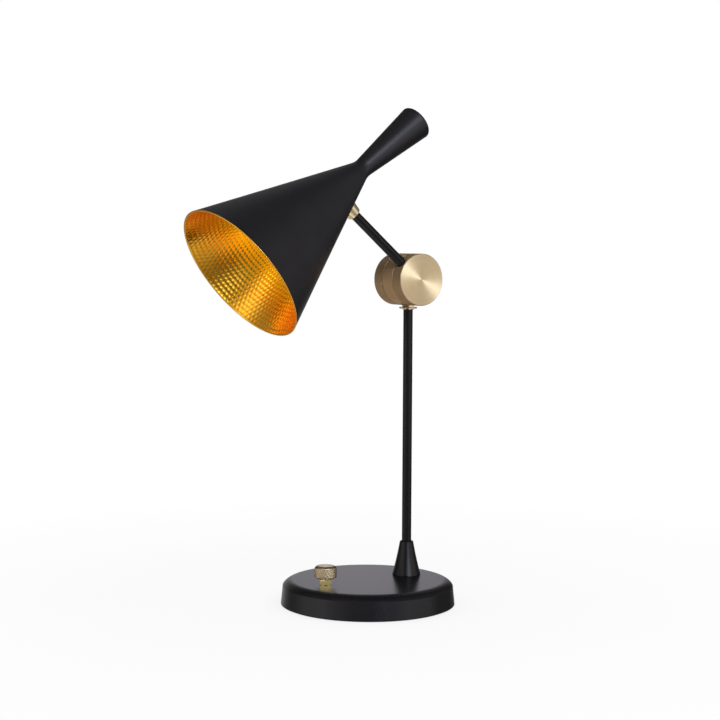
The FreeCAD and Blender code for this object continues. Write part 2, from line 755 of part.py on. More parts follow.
def make_hub():
    bore_r = s.stud_r + s.run_clear
    seat = hub_face - (s.washer_t - s.face_gap)
    pocket_in = s.washer_in_r - s.hole_clear
    pocket_out = s.washer_out_r + s.hole_clear
    rear_face = [(bore_r, -hub_face), (pocket_in, -hub_face), (pocket_in, -seat), (pocket_out, -seat),
                 (pocket_out, -hub_face)]
    front_face = [(across, -along) for across, along in reversed(rear_face)]
    blank = revolved("hub_blank", knuckle, rear_face + disc_edge(-hub_face, hub_face) + front_face)
    below = hub_under - OVERSHOOT
    below_hub = upright(pole_x, 0, below)
    flat = cylinder("hub_flat", below_hub, s.spot_face_r, head_nut_top - below)
    socket = cylinder("hub_socket", below_hub, s.pole_r + s.thread_clear, pole_top - below)
    outlet_z = s.pivot_z - (s.groove_in_r + s.groove_out_r) / 2
    rise = cylinder("hub_cable_rise", below_hub, s.pole_r - s.tube_t, outlet_z - below)
    outlet = Frame((pole_x, 0, outlet_z), "X", as_size(90))
    exit_hole = cylinder("hub_cable_exit", outlet, s.cable_hole_r, hub_face + OVERSHOOT)
    hub = cut("pivot_hub", blank, flat, socket, rise, exit_hole)
    friction = ring("friction_washer", knuckle, s.washer_in_r, s.washer_out_r, seat, arm_hub_face)
    thrust = ring("thrust_washer", knuckle, s.washer_in_r, s.washer_out_r, -clamp_face, -seat)
    return [hub, friction, thrust]


def make_clamp():
    inner = -clamp_face
    outer = -clamp_rear
    bore_r = s.stud_r + s.thread_clear
    pocket_r = s.spring_r + s.hole_clear
    pocket_floor = inner - s.spring_pocket
    knob = revolved("clamp_knob", knuckle, [(0, outer)] + disc_edge(outer, inner) + [
        (pocket_r, inner),
        (pocket_r, pocket_floor),
        (bore_r, pocket_floor),
        (bore_r, inner - s.stud_rear),
        (0, inner - s.stud_rear),
    ])
    screw = rod("clamp_screw", knuckle, s.stud_r, inner - s.stud_rear + s.stud_slack,
                arm_hub_face + s.stud_front - s.stud_slack)
    spring_in_r = s.stud_r + s.hole_clear
    spring_top = -hub_face - s.run_clear
    spring = revolved("spring_washer", knuckle, [
        (spring_in_r, pocket_floor),
        (s.spring_r, spring_top - s.spring_t),
        (s.spring_r, spring_top),
        (spring_in_r, pocket_floor + s.spring_t),
    ])
    return [knob, screw, spring]


def make_arm_hub():
    bore_r = s.stud_r + s.run_clear
    groove_floor = arm_hub_face + s.groove_depth
    bore_floor = arm_hub_face + s.stud_front
    blank = revolved("arm_hub_blank", knuckle, [
        (0, bore_floor),
        (bore_r, bore_floor),
        (bore_r, arm_hub_face),
        (s.groove_in_r, arm_hub_face),
        (s.groove_in_r, groove_floor),
        (s.groove_out_r, groove_floor),
        (s.groove_out_r, arm_hub_face),
    ] + disc_edge(arm_hub_face, arm_hub_front) + [(0, arm_hub_front)])
    arm_socket = cylinder("arm_socket", arm.moved(s.arm_seat), s.arm_r + s.thread_clear, s.disc_r)
    cable_way = cylinder("arm_cable_way", arm.moved(s.groove_in_r), s.cable_hole_r, s.disc_r)
    cos_arm, sin_arm = cosine(s.arm_angle), sine(s.arm_angle)
    screw_frame = Frame((pole_x - s.arm_screw_at * cos_arm, -arm_hub_face - s.run_clear,
                         s.pivot_z + s.arm_screw_at * sin_arm), "X", as_size(90))
    screw_len = -arm_y - s.arm_r - arm_hub_face - s.run_clear
    screw = cylinder("arm_screw", screw_frame, s.arm_screw_r, screw_len)
    screw_hole = cylinder("arm_screw_hole", screw_frame.moved(-OVERSHOOT), s.arm_screw_r + s.thread_clear,
                          screw_len + OVERSHOOT)
    return [cut("arm_hub", blank, arm_socket, cable_way, screw_hole), screw]


def make_arm():
    bore_r = s.arm_r - s.tube_t
    tube = ring("arm_tube", arm, bore_r, s.arm_r, s.arm_seat, arm_tip)
    ring_foot = spigot_tip + s.hole_clear
    keeper = ring(
        "arm_ring", arm, s.arm_r + s.thread_clear, s.arm_ring_r, ring_foot, ring_foot + s.arm_ring_t)
    wire = rod("arm_wire", arm, s.wire_r, s.arm_seat, arm_tip + s.wire_r)
    return make_arm_hub() + [tube, keeper, wire]


# Shade: drawn along its own axis from the mouth to the end of the neck

def blend_ends(inset):
    """Where the waist's blend meets the cone and the neck, as (radius, height)."""
    cone_way = root(1 + cone_slope * cone_slope)
    neck_way = root(1 + neck_slope * neck_slope)
    # The tangent of half the turn, from the unit directions of the two sides
    along = (1 - cone_slope * neck_slope) / (cone_way * neck_way)
    across = (cone_slope + neck_slope) / (cone_way * neck_way)
    run = s.waist_blend * across / (1 + along)
    waist = s.waist_r - inset
    on_cone = (waist + run * cone_slope / cone_way, s.cone_len - run / cone_way)
    on_neck = (waist + run * neck_slope / neck_way, s.cone_len + run / neck_way)
    return on_cone, on_neck


def cone_arc(inset, start, end):
    """Radius of the cone's slightly hollow side between two heights."""
    share = (end - start) / s.cone_len
    run = cone_radius(start, inset) - cone_radius(end, inset)
    return sag_radius(run, end - start, s.cone_sag * share * share)


def shade_side(inset, start, end):
    """One side of the shade from a height at the mouth to a height on the neck."""
    on_cone, on_neck = blend_ends(inset)
    return [
        (cone_radius(start, inset), start, (cone_arc(inset, start, on_cone[1]), -1)),
        (*on_cone, (s.waist_blend, -1)),
        on_neck,
        (s.waist_r - inset + neck_slope * (end - s.cone_len), end),
    ]


def make_shade():
    zero = as_size(0)
    neck_top = shade_end - s.cap_rim
    outside = shade_side(zero, s.lip_t, neck_top)
    mouth_in, cone_in, neck_in, top_in = shade_side(s.shell_t, s.lip_t, neck_top)
    shell_blank = revolved("shell_blank", shade, outside + [
        top_in,
        (*neck_in, (s.waist_blend, 1)),
        (cone_in[0], cone_in[1], (mouth_in[2][0], 1)),
        mouth_in[:2],
    ])
    envelope = revolved("shade_envelope", shade, outside + [(0, neck_top), (0, s.lip_t)])
    end = s.liner_len
    cavity_arc = cone_arc(cavity_inset, zero, end)
    liner_blank = revolved("liner_blank", shade, [
        (s.mouth_r, 0),
        (cone_radius(s.lip_t, 0), s.lip_t),
        (cone_radius(s.lip_t, liner_inset), s.lip_t, (cone_arc(liner_inset, s.lip_t, end), -1)),
        (cone_radius(end, liner_inset), end),
        (cone_radius(end, cavity_inset), end, (cavity_arc, 1)),
        (s.mouth_r - cavity_inset, 0),
    ])
    cavity = revolved("shade_cavity", shade, [
        (s.mouth_r - cavity_inset, 0, (cavity_arc, -1)),
        (cone_radius(end, cavity_inset), end),
        (0, end),
        (0, 0),
    ])
    passage = cylinder("spigot_passage", arm.moved(skin_at - s.bush_len), s.spigot_r + s.hole_clear,
                       s.bush_len + s.saddle_reach)
    shell = cut("shade_shell", shell_blank, passage)
    liner = cut("shade_liner", liner_blank, passage)
    return [shell, liner] + make_swivel(envelope, cavity)


def make_swivel(envelope, cavity):
    """The bush that carries the shade on the arm, its saddle washer and its nut."""
    bore_r = s.arm_r + s.run_clear
    tip = skin_at - s.bush_len
    flare = (s.bush_foot_r - s.bush_tip_r) / s.bush_len
    deep = s.saddle_reach
    edge = s.bush_edge
    skirt_blank = revolved("bush_blank", arm, [
        (bore_r, tip),
        (s.bush_tip_r - edge, tip),
        (s.bush_tip_r, tip + edge),
        (s.bush_foot_r + flare * deep, skin_at + deep),
        (bore_r, skin_at + deep),
    ])
    skirt = cut("bush_skirt", skirt_blank, envelope)
    spigot = ring("bush_spigot", arm, bore_r, s.spigot_r, tip + edge, spigot_tip)
    bush = join("Fuse", "swivel_bush", skirt, spigot)
    saddle_blank = ring("saddle_blank", arm, s.spigot_r + s.thread_clear, s.saddle_r, tip, swivel_nut_at)
    saddle = join("Common", "saddle_washer", saddle_blank, cavity)
    nut = hex_nut("swivel_nut", arm.moved(swivel_nut_at), s.swivel_nut_across, s.swivel_nut_h,
                  s.spigot_r + s.thread_clear)
    return [bush, saddle, nut]


def make_neck_cap():
    foot = shade_end - s.cap_rim
    plug_foot = foot - s.cap_plug
    rim_r = s.neck_end_r - neck_slope * s.cap_rim
    plug_r = s.neck_end_r - neck_slope * (s.cap_rim + s.cap_plug) - s.shell_t - s.thread_clear
    bore_r = s.tie_r + s.thread_clear
    bore_top = plug_foot + s.cap_bore
    return revolved("neck_cap", shade, [
        (bore_r, plug_foot),
        (plug_r, plug_foot),
        (plug_r, foot),
        (rim_r, foot),
        (s.neck_end_r - neck_slope * s.cap_round, shade_end - s.cap_round, (s.cap_round, 1)),
        (s.neck_end_r - neck_slope * s.cap_round - s.cap_round, shade_end),
        (0, shade_end),
        (0, bore_top),
        (bore_r, bore_top),
    ])


def make_bridge():
    """The disc that the threaded tube draws up into the cone, with its nut."""
    lower, upper = s.bridge_at, s.bridge_at + s.bridge_t
    inset = cavity_inset + s.bridge_gap
    bore_r = s.tie_r + s.thread_clear
    blank = revolved("shade_bridge", shade.moved(lower), [
        (bore_r, 0),
        (cone_radius(lower, inset), 0),
        (cone_radius(upper, inset), s.bridge_t),
        (bore_r, s.bridge_t),
    ])
    places = on_ring(s.bridge_hole_ring_r, BRIDGE_HOLE_ANGLES)
    bridge = pocket_through(blank, [(x, y, s.bridge_hole_r) for x, y in places])
    nut = hex_nut("bridge_nut", shade.moved(upper), s.bridge_nut_across, s.bridge_nut_h, bore_r)
    cap_bore_top = shade_end - s.cap_rim - s.cap_plug + s.cap_bore
    tie = ring("tie_tube", shade, s.tie_r - s.tie_t, s.tie_r, s.bridge_at - s.tie_engage, cap_bore_top)
    return [bridge, nut, tie]


def make_lampholder():
    socket_out = s.socket_r + s.socket_t + s.thread_clear
    bevel = s.holder_bevel
    top_bore_r = s.tie_r + s.thread_clear
    top_bore_foot = s.bridge_at - s.tie_engage
    holder = revolved("lampholder", shade, [
        (socket_out, holder_rim),
        (s.holder_r - bevel, holder_rim),
        (s.holder_r, holder_rim + bevel),
        (s.holder_r, s.bridge_at - bevel),
        (s.holder_r - bevel, s.bridge_at),
        (top_bore_r, s.bridge_at),
        (top_bore_r, top_bore_foot),
        (0, top_bore_foot),
        (0, socket_floor),
        (socket_out, socket_floor),
    ])
    sleeve = ring("socket_thread", shade, s.socket_r, s.socket_r + s.socket_t,
                  holder_rim + s.socket_sink, socket_floor)
    contact_foot = socket_floor - s.contact_h
    contact = revolved("socket_contact", shade, [
        (0, contact_foot),
        (s.contact_r - s.contact_bevel, contact_foot),
        (s.contact_r, contact_foot + s.contact_bevel),
        (s.contact_r, socket_floor),
        (0, socket_floor),
    ])
    return [holder, sleeve, contact] + make_bulb(contact_foot)


def make_bulb(contact_foot):
    """A short tubular bulb, wholly inside the shade."""
    tip_h = s.bulb_cap_r - s.bulb_tip_r
    cap_foot = contact_foot - s.bulb_cap_len
    cap = revolved("bulb_cap", shade, [
        (0, cap_foot),
        (s.bulb_cap_r, cap_foot),
        (s.bulb_cap_r, contact_foot - tip_h),
        (s.bulb_tip_r, contact_foot),
        (0, contact_foot),
    ])
    shoulder = holder_rim - s.bulb_standoff
    dome = holder_rim - s.bulb_len + s.bulb_r
    glass = revolved("bulb_glass", shade, [
        (0, dome - s.bulb_r, (s.bulb_r, 1)),
        (s.bulb_r, dome),
        (s.bulb_r, shoulder - s.bulb_shoulder),
        (s.bulb_cap_r, shoulder),
        (s.bulb_cap_r, cap_foot),
        (0, cap_foot),
    ])
    return [cap, glass]


def check_and_export(pieces):
    document.recompute()
    for item in document.Objects:
        if "Invalid" in item.State or "Error" in item.State:
            raise RuntimeError(f"{item.Label} failed: {item.State}")
    os.makedirs("parts", exist_ok=True)
    for piece in pieces:
        if piece.Shape.isNull() or not piece.Shape.isValid() or not piece.Shape.Solids:
            raise RuntimeError(f"{piece.Label} has no valid solid")
    for piece in pieces:
        piece.Shape.exportStep(f"parts/{piece.Label}.step")
        print(f"{piece.Label}: {len(piece.Shape.Solids)} solid, {piece.Shape.Volume:.1f} mm3")


pieces = make_base_cover() + make_base_inside() + make_base_wiring() + make_dimmer() + make_pole()
pieces += make_hub() + make_clamp() + make_arm()
pieces += make_shade() + [make_neck_cap()] + make_bridge() + make_lampholder()
check_and_export(pieces)
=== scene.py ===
import json
import math
import random

import bmesh
import bpy
from mathutils import Matrix, Vector


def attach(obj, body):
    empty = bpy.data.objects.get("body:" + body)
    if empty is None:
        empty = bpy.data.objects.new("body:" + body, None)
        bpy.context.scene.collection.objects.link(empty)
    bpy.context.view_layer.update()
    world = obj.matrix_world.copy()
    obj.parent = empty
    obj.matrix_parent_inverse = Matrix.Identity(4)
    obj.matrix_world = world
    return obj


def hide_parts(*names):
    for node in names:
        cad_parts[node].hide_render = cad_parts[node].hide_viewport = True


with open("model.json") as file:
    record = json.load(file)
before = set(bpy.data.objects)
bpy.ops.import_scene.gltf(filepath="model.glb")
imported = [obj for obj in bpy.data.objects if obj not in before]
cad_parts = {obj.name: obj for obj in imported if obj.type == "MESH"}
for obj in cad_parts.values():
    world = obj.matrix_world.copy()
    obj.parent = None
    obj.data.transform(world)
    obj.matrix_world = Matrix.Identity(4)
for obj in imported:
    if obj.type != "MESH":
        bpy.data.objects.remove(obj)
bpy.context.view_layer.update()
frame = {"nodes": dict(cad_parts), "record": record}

MM = 0.001
UP = Vector((0.0, 0.0, 1.0))
FRONT = Vector((0.0, -1.0, 0.0))

# Places and sizes in metres that the dressed pieces share with the solids
KNUCKLE = Vector((49.9, 0.0, 341.5)) * MM
ARM_AXIS_POINT = Vector((49.9, -17.1, 341.5)) * MM
ARM_RISE = math.radians(39.8)
ARM_WAY = Vector((-math.cos(ARM_RISE), 0.0, math.sin(ARM_RISE)))
ARM_REACH = 137.9 * MM
SHADE_TILT = math.radians(36.5)
SHADE_WAY = Vector((math.cos(SHADE_TILT), 0.0, math.sin(SHADE_TILT)))
SHADE_SIDE = Vector((-math.sin(SHADE_TILT), 0.0, math.cos(SHADE_TILT)))
JOINT_FROM_MOUTH = 136.4 * MM
MOUTH = ARM_AXIS_POINT + ARM_WAY * ARM_REACH - SHADE_WAY * JOINT_FROM_MOUTH
KNOB_AXIS = Vector((-53.0, 0.0, 0.0)) * MM

# The photograph's camera
CAMERA_PLACE = Vector((-993.8, -1455.6, 379.6)) * MM
CAMERA_PITCH = math.radians(3.96)
CAMERA_HEADING = math.radians(34.02)
CAMERA_ROLL = math.radians(0.28)
CAMERA_LENS = 84.49
CAMERA_SENSOR = 36.0
CAMERA_NEAR = 0.05


# Node graphs

def add(owner, kind, inputs=None, **settings):
    """Add a node to a material or a world, set its properties, then set or link its inputs."""
    node = owner.node_tree.nodes.new(kind)
    for name, value in settings.items():
        setattr(node, name, value)
    for name, value in (inputs or {}).items():
        if isinstance(value, bpy.types.NodeSocket):
            owner.node_tree.links.new(value, node.inputs[name])
        else:
            node.inputs[name].default_value = value
    return node


def calc(owner, operation, *values):
    """Arithmetic on numbers and number sockets."""
    return add(owner, "ShaderNodeMath", dict(enumerate(values)), operation=operation).outputs["Value"]


def vector_calc(owner, operation, *values):
    """Arithmetic on vectors and vector sockets, as a node with a number and a vector for its outputs."""
    return add(owner, "ShaderNodeVectorMath", dict(enumerate(values)), operation=operation)


def bare_material(name):
    material = bpy.data.materials.new(name)
    material.use_nodes = True
    material.node_tree.nodes.clear()
    return material


def grey(value):
    return (value, value, value, 1.0)


def object_coordinates(material):
    return add(material, "ShaderNodeTexCoord").outputs["Object"]


def noise(material, vector, scale, detail=3.0, roughness=0.55):
    node = add(material, "ShaderNodeTexNoise", {
        "Vector": vector,
        "Scale": scale,
        "Detail": detail,
        "Roughness": roughness,
    })
    return node.outputs["Fac"]


# Most of a noise texture lies between these values
NOISE_LOW = 0.3
NOISE_HIGH = 0.7


def spread(material, value, low, high, start=NOISE_LOW, end=NOISE_HIGH):
    """Map a range of values to a range of numbers."""
    node = add(material, "ShaderNodeMapRange", {
        "Value": value,
        "From Min": start,
        "From Max": end,
        "To Min": low,
        "To Max": high,
    })
    return node.outputs["Result"]


def tint(material, value, dark, light):
    """Map a texture's middle range to a range of colours."""
    ramp = add(material, "ShaderNodeValToRGB", {"Fac": value})
    for stop, position, colour in zip(ramp.color_ramp.elements, (NOISE_LOW, NOISE_HIGH), (dark, light)):
        stop.position = position
        stop.color = (*colour, 1.0)
    return ramp.outputs["Color"]


def mixed_colour(material, share, first, second):
    node = add(material, "ShaderNodeMix", {"Factor": share, "A": first, "B": second}, data_type="RGBA")
    return node.outputs["Result"]


def bumped(material, height, distance):
    return add(material, "ShaderNodeBump", {"Height": height, "Distance": distance, "Strength": 1.0}).outputs["Normal"]


def along_axis(material, where, centre, way):
    """Distance along an axis from a place on it."""
    offset = vector_calc(material, "SUBTRACT", where, centre)
    return vector_calc(material, "DOT_PRODUCT", offset.outputs["Vector"], way).outputs["Value"]


def finished(material, sockets):
    """Join a shader with the given sockets to a material's output."""
    shader = add(material, "ShaderNodeBsdfPrincipled", sockets)
    add(material, "ShaderNodeOutputMaterial", {"Surface": shader.outputs["BSDF"]})
    return material


# The lining is painted yellower between these heights above the mouth: painted light for the bright golden light deep
# in the shade
PAINTED_LIGHT_FROM = 26.0 * MM
PAINTED_LIGHT_TO = 50.0 * MM
GRAIN_DETAIL = 2.0


def grained(name, colours, roughness, patch_scale, grain_scale, grain_height, painted_light=None, sockets=None):
    """A material with soft patches of colour and gloss, and a fine grain in its surface; a second colour can be
    painted in deeper along the shade as painted light.
    """
    material = bare_material(name)
    where = object_coordinates(material)
    patches = noise(material, where, patch_scale)
    grain = noise(material, where, grain_scale, GRAIN_DETAIL)
    colour = tint(material, patches, *colours)
    if painted_light:
        # Painted light: the colour turns yellower deeper inside the shade, for the bright golden light there
        depth = along_axis(material, where, MOUTH, SHADE_WAY)
        share = spread(material, depth, 0.0, 1.0, PAINTED_LIGHT_FROM, PAINTED_LIGHT_TO)
        colour = mixed_colour(material, share, colour, tint(material, patches, *painted_light))
    return finished(material, {
        "Base Color": colour,
        "Roughness": spread(material, grain, *roughness),
        "Normal": bumped(material, grain, grain_height),
        **(sockets or {}),
    })


def turned_coordinates(material, centre, way):
    """Distance from an axis and distance along it, as one vector: rings on faces, bands on sides."""
    mapping = add(material, "ShaderNodeMapping", {
        "Vector": object_coordinates(material),
        "Location": centre,
        "Rotation": way.to_track_quat("Z", "Y").to_euler(),
    }, vector_type="TEXTURE")
    parts = add(material, "ShaderNodeSeparateXYZ", {"Vector": mapping.outputs["Vector"]}).outputs
    across = add(material, "ShaderNodeCombineXYZ", {"X": parts["X"], "Y": parts["Y"]})
    radius = vector_calc(material, "LENGTH", across.outputs["Vector"])
    both = add(material, "ShaderNodeCombineXYZ", {"X": radius.outputs["Value"], "Y": parts["Z"]})
    return both.outputs["Vector"]


# A surface counts as a side up to the first share of facing along the axis, and as a face from the second
SIDE_FACING = 0.85
FACE_FACING = 0.97


def end_share(material, way):
    """One on the faces across an axis, none on the sides along it."""
    normal = add(material, "ShaderNodeTexCoord").outputs["Normal"]
    facing = vector_calc(material, "DOT_PRODUCT", normal, way).outputs["Value"]
    return spread(material, calc(material, "ABSOLUTE", facing), 0.0, 1.0, SIDE_FACING, FACE_FACING)


# Lines, bands and stains of turned metal, and how its sides differ from its faces
LINE_DETAIL = 4.0
LINE_ROUGHNESS = 0.7
LINES_PER_BAND = 9.0
BAND_DETAIL = 2.0
STAIN_SCALE = 45.0
STAIN_SHARE = 0.45
SIDE_DULL = 0.3
SIDE_STRETCH = 0.3
FACE_STRETCH = 0.9


def turned(name, centre, way, colours, roughness, line_scale, line_height, tangent=None, side=None, sockets=None):
    """Metal turned on a lathe: fine lines round an axis in its colour, gloss and surface."""
    material = bare_material(name)
    where = turned_coordinates(material, centre, way)
    lines = noise(material, where, line_scale, LINE_DETAIL, LINE_ROUGHNESS)
    bands = noise(material, where, line_scale / LINES_PER_BAND, BAND_DETAIL)
    stain = noise(material, object_coordinates(material), STAIN_SCALE)
    tone = add(material, "ShaderNodeMix", {"Factor": STAIN_SHARE, "A": bands, "B": stain}).outputs["Result"]
    look = {
        "Base Color": tint(material, tone, *colours),
        "Roughness": spread(material, lines, *roughness),
        "Normal": bumped(material, lines, line_height),
        "Metallic": 1.0,
        **(sockets or {}),
    }
    if side:
        share = end_share(material, way)
        dulled = spread(material, share, SIDE_DULL, 0.0, 0.0, 1.0)
        look["Base Color"] = mixed_colour(material, share, tint(material, tone, *side), look["Base Color"])
        look["Roughness"] = calc(material, "ADD", look["Roughness"], dulled)
        look["Anisotropic"] = spread(material, share, SIDE_STRETCH, FACE_STRETCH, 0.0, 1.0)
    if tangent:
        spun = add(material, "ShaderNodeTangent", direction_type="RADIAL", axis=tangent)
        look["Tangent"] = spun.outputs["Tangent"]
    return finished(material, look)


# Finishes: a dark and a light colour for each, then its gloss and its texture
BRASS = ((0.68, 0.52, 0.315), (0.74, 0.575, 0.355))
BROWN_SIDE = ((0.435, 0.282, 0.152), (0.50, 0.328, 0.18))
HUB_SIDE = ((0.53, 0.35, 0.19), (0.60, 0.40, 0.22))
KNOB_BRASS = ((0.47, 0.355, 0.21), (0.535, 0.41, 0.25))
BUSH_BRASS = ((0.86, 0.70, 0.42), (0.91, 0.75, 0.47))
BRIGHT_BRASS = ((0.90, 0.72, 0.34), (0.95, 0.78, 0.38))
AMBER = ((0.95, 0.435, 0.024), (0.98, 0.485, 0.034))
# Painted light: the lining's yellower colour deeper inside the shade
PAINTED_LIGHT_YELLOW = ((0.98, 0.64, 0.030), (0.99, 0.69, 0.038))
QUARTER_TURN = 0.25

DISC_BRASS = {
    "centre": KNUCKLE, "way": FRONT, "colours": BRASS, "roughness": (0.34, 0.42),
    "line_scale": 2600.0, "line_height": 0.002 * MM, "tangent": "Y",
    "sockets": {"Anisotropic Rotation": QUARTER_TURN},
}
TURNED = {
    "brass_disc": {**DISC_BRASS, "side": BROWN_SIDE},
    "brass_hub": {**DISC_BRASS, "side": HUB_SIDE},
    "brass_upright": {
        "centre": KNUCKLE, "way": UP, "colours": BRASS, "roughness": (0.2, 0.32),
        "line_scale": 1800.0, "line_height": 0.01 * MM,
    },
    "brass_knob": {
        "centre": KNOB_AXIS, "way": UP, "colours": KNOB_BRASS, "roughness": (0.2, 0.3),
        "line_scale": 1800.0, "line_height": 0.01 * MM, "tangent": "Z",
        "sockets": {"Anisotropic": 0.4},
    },
    "brass_nut": {
        "centre": KNOB_AXIS, "way": UP, "colours": BRIGHT_BRASS, "roughness": (0.06, 0.1),
        "line_scale": 1800.0, "line_height": 0.005 * MM,
    },
    "brass_arm": {
        "centre": ARM_AXIS_POINT, "way": ARM_WAY, "colours": BUSH_BRASS, "roughness": (0.29, 0.35),
        "line_scale": 1800.0, "line_height": 0.005 * MM,
    },
}
GRAINED = {
    # Painted light and shade: one black coat in three copies, lightest on the shade, darker on the base, darkest on
    # the tubes
    "black_shade": {
        "colours": ((0.0116, 0.0106, 0.0128), (0.0140, 0.0130, 0.0154)), "roughness": (0.31, 0.37),
        "patch_scale": 30.0, "grain_scale": 1500.0, "grain_height": 0.02 * MM,
        "sockets": {"Specular IOR Level": 0.26, "Specular Tint": (1.0, 0.92, 0.90, 1.0)},
    },
    # Painted shade: a darker copy of the shade's black coat for the base
    "shaded_black_stand": {
        "colours": ((0.0064, 0.0058, 0.0068), (0.0078, 0.0072, 0.0082)), "roughness": (0.25, 0.31),
        "patch_scale": 30.0, "grain_scale": 1500.0, "grain_height": 0.02 * MM,
        "sockets": {"Specular IOR Level": 0.26, "Specular Tint": (1.0, 0.945, 0.985, 1.0)},
    },
    # Painted shade: a darker copy again for the pole, its collar and the arm
    "shaded_black_tube": {
        "colours": ((0.0050, 0.0048, 0.0060), (0.0062, 0.0060, 0.0074)), "roughness": (0.22, 0.28),
        "patch_scale": 30.0, "grain_scale": 1500.0, "grain_height": 0.01 * MM,
        "sockets": {"Specular IOR Level": 0.21, "Specular Tint": (1.0, 0.90, 0.85, 1.0)},
    },
    "gold_liner": {
        "colours": AMBER, "painted_light": PAINTED_LIGHT_YELLOW, "roughness": (0.13, 0.19),
        "patch_scale": 60.0, "grain_scale": 900.0, "grain_height": 0.02 * MM,
        "sockets": {"Metallic": 0.86},
    },
    "cast_iron": {
        "colours": ((0.05, 0.05, 0.05), (0.09, 0.085, 0.08)), "roughness": (0.6, 0.8),
        "patch_scale": 60.0, "grain_scale": 700.0, "grain_height": 0.3 * MM,
        "sockets": {"Metallic": 0.8},
    },
    "zinc_steel": {
        "colours": ((0.48, 0.48, 0.50), (0.58, 0.58, 0.60)), "roughness": (0.28, 0.42),
        "patch_scale": 120.0, "grain_scale": 1600.0, "grain_height": 0.02 * MM,
        "sockets": {"Metallic": 1.0},
    },
    "bulb_metal": {
        "colours": ((0.55, 0.55, 0.55), (0.65, 0.65, 0.64)), "roughness": (0.3, 0.4),
        "patch_scale": 120.0, "grain_scale": 1500.0, "grain_height": 0.02 * MM,
        "sockets": {"Metallic": 1.0},
    },
    "pad_rubber": {
        "colours": ((0.015, 0.015, 0.015), (0.025, 0.025, 0.024)), "roughness": (0.7, 0.9),
        "patch_scale": 50.0, "grain_scale": 800.0, "grain_height": 0.2 * MM,
    },
    "black_plastic": {
        "colours": ((0.012, 0.012, 0.012), (0.02, 0.02, 0.02)), "roughness": (0.45, 0.6),
        "patch_scale": 60.0, "grain_scale": 1400.0, "grain_height": 0.05 * MM,
    },
    "white_plastic": {
        "colours": ((0.70, 0.69, 0.65), (0.76, 0.75, 0.71)), "roughness": (0.4, 0.55),
        "patch_scale": 60.0, "grain_scale": 1200.0, "grain_height": 0.04 * MM,
    },
    "cable": {
        "colours": ((0.018, 0.018, 0.018), (0.028, 0.028, 0.028)), "roughness": (0.4, 0.55),
        "patch_scale": 60.0, "grain_scale": 1200.0, "grain_height": 0.03 * MM,
    },
    "fibre": {
        "colours": ((0.2, 0.09, 0.045), (0.28, 0.14, 0.075)), "roughness": (0.6, 0.8),
        "patch_scale": 150.0, "grain_scale": 1500.0, "grain_height": 0.1 * MM,
    },
    "frosted_glass": {
        "colours": ((0.86, 0.86, 0.84), (0.9, 0.9, 0.88)), "roughness": (0.35, 0.45),
        "patch_scale": 40.0, "grain_scale": 1200.0, "grain_height": 0.02 * MM,
        "sockets": {"Transmission Weight": 0.35},
    },
}

# Painted shade: the base takes a darker copy of the shade's black coat, and the pole, its collar and the arm a darker
# one again. The brass has lighter and darker copies from node to node; the rest follow their finish in the record
FINISH_BY_NODE = {
    "base_cover": "shaded_black_stand",
    "pole_collar": "shaded_black_tube",
    "pole": "shaded_black_tube",
    "arm_tube": "shaded_black_tube",
    "dimmer_nut": "brass_nut",
    "dimmer_bushing": "brass_nut",
    "dimmer_knob": "brass_knob",
    "pivot_hub": "brass_hub",
    "head_ring": "brass_upright",
    "head_nut": "brass_upright",
    "swivel_bush": "brass_arm",
}
FINISH_BY_SLOT = {"black_coat": "black_shade", "brass": "brass_disc"}


def make_materials():
    made = {name: grained(name, **finish) for name, finish in GRAINED.items()}
    made.update((name, turned(name, **finish)) for name, finish in TURNED.items())
    return made


def paint_nodes(materials):
    """Give each solid the finish that its name or the record asks for."""
    for row in frame["record"]["subparts"]:
        node, slot = row["node"], row["material_slot"]
        finish = FINISH_BY_NODE.get(node) or FINISH_BY_SLOT.get(slot, slot)
        mesh = frame["nodes"][node].data
        mesh.materials.clear()
        mesh.materials.append(materials[finish])


# Dressed pieces

def new_object(name, data):
    thing = bpy.data.objects.new(name, data)
    bpy.context.scene.collection.objects.link(thing)
    return thing


def new_mesh(name, work, material):
    """Turn a work mesh into a finished one with one material."""
    mesh = bpy.data.meshes.new(name)
    work.to_mesh(mesh)
    work.free()
    mesh.materials.append(material)
    return mesh


def new_piece(name, work, material, body, replaced):
    """Turn a work mesh into a piece that rides on a body and stands for a solid."""
    bmesh.ops.recalc_face_normals(work, faces=work.faces)
    mesh = new_mesh(name, work, material)
    mesh.shade_smooth()
    piece = new_object(name, mesh)
    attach(piece, body)
    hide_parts(replaced)


def new_ring(work, place, columns, radius_at, height):
    """A ring of vertices whose radius may change from column to column."""
    turns = [math.tau * column / columns for column in range(columns)]
    return [work.verts.new(place(radius_at(column), turn, height)) for column, turn in enumerate(turns)]


def skin_rings(work, rings):
    """Join rings of vertices with four-sided faces."""
    for lower, upper in zip(rings, rings[1:]):
        count = len(lower)
        for index in range(count):
            following = (index + 1) % count
            work.faces.new((lower[index], lower[following], upper[following], upper[index]))


# The lining's cone, its lip over the shade's edge and its smooth border
CONE_LEN = 178.0 * MM
MOUTH_R = 76.9 * MM
NECK_R = 9.8 * MM
CONE_SLOPE = (MOUTH_R - NECK_R) / CONE_LEN
CONE_SAG = 0.2 * MM
LINER_OUT = 1.15 * MM
LINER_IN = 1.75 * MM
LINER_LEN = 160.0 * MM
LIP = 0.6 * MM
LIP_BEVEL = 0.2 * LIP
BORDER = 0.8 * MM
BORDER_LINE = 0.6 * BORDER
SPIGOT_CLEAR = 7.6 * MM

